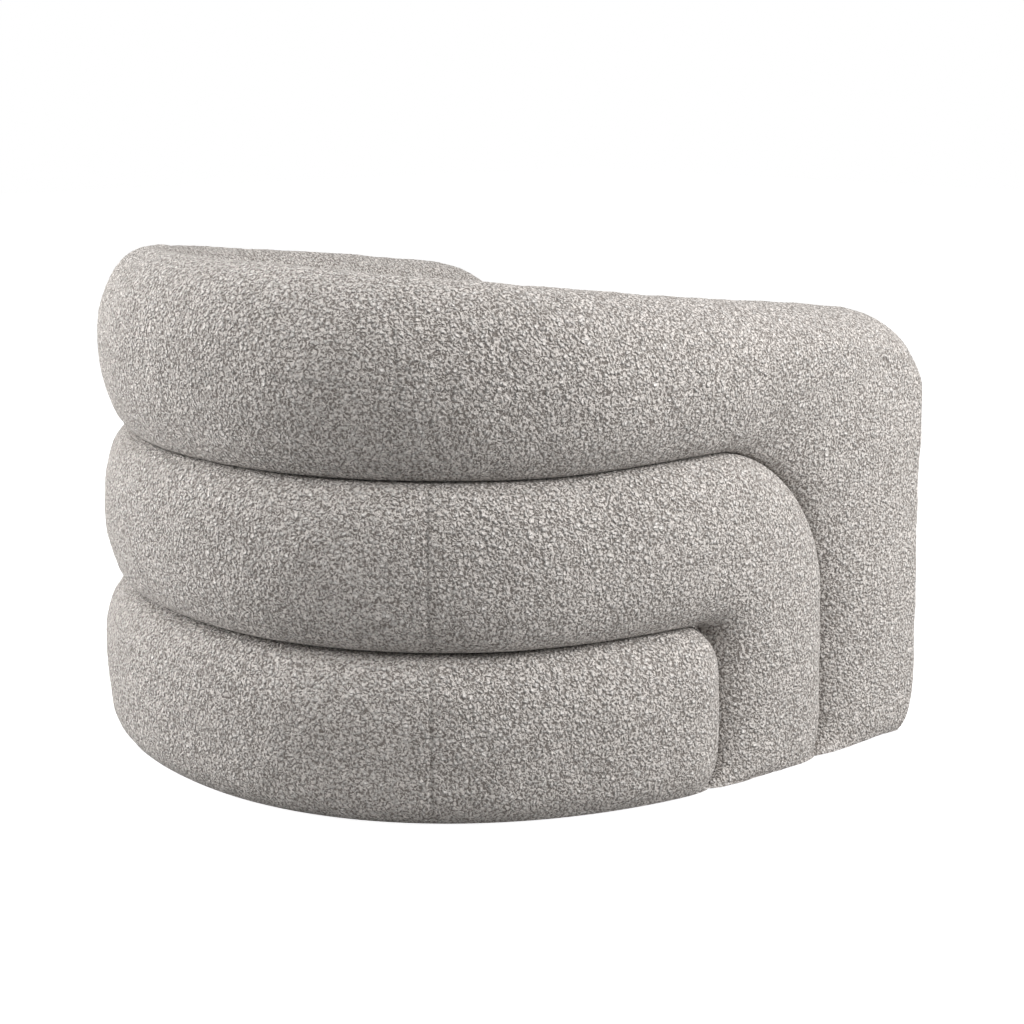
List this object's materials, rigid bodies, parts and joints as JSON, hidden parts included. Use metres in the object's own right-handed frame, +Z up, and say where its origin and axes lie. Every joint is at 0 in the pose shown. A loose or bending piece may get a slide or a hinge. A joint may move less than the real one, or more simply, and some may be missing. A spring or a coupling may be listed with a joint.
{
  "type": "tub chair",
  "caption": "Wide low tub chair, its back and arms wrapped in stacked padded channel rolls that turn down to the floor at the arm fronts, with a deep seat.",
  "frame": {"origin": "on the floor under the middle of the chair's bounding box", "axes": "+Z up, -Y towards the front of the seat, +X towards the right arm as seen from behind; the chair is symmetrical about the YZ plane"},
  "size_m": [1.0968, 0.9794, 0.7122],
  "materials": {
    "boucle": "light warm grey boucle, looped and nubby",
    "timber": "bare birch plywood and laminated strips",
    "fibreboard": "bare brown fibreboard",
    "webbing": "brown elastic webbing",
    "felt": "grey needle felt",
    "dust_cloth": "black non-woven cloth",
    "glide": "black moulded plastic"
  },
  "bodies": {
    "root": {"top_roll": "boucle", "middle_roll": "boucle", "bottom_roll": "boucle", "inside_back": "boucle", "seat_cushion": "boucle", "front_border": "boucle", "deck_felt": "felt", "outer_skin": "fibreboard", "inner_skin": "fibreboard", "lower_rail_back": "timber", "upper_rail_back": "timber", "rim_rail_back": "timber", "arm_rear_former_right": "timber", "arm_middle_former_right": "timber", "arm_front_former_right": "timber", "arm_rear_former_left": "timber", "arm_middle_former_left": "timber", "arm_front_former_left": "timber", "back_post_centre": "timber", "back_post_right": "timber", "back_post_left": "timber", "corner_post_right": "timber", "corner_post_left": "timber", "side_post_right": "timber", "side_post_left": "timber", "base_panel": "timber", "seat_ring": "timber", "seat_ledger": "timber", "front_panel": "timber", "long_webbing_1": "webbing", "long_webbing_2": "webbing", "long_webbing_3": "webbing", "long_webbing_4": "webbing", "long_webbing_5": "webbing", "cross_webbing_1": "webbing", "cross_webbing_2": "webbing", "cross_webbing_3": "webbing", "cross_webbing_4": "webbing", "dust_cover": "dust_cloth", "glide_front_right": "glide", "glide_front_left": "glide", "glide_side_right": "glide", "glide_side_left": "glide", "glide_back_right": "glide", "glide_back_left": "glide"}
  },
  "joints": []
}
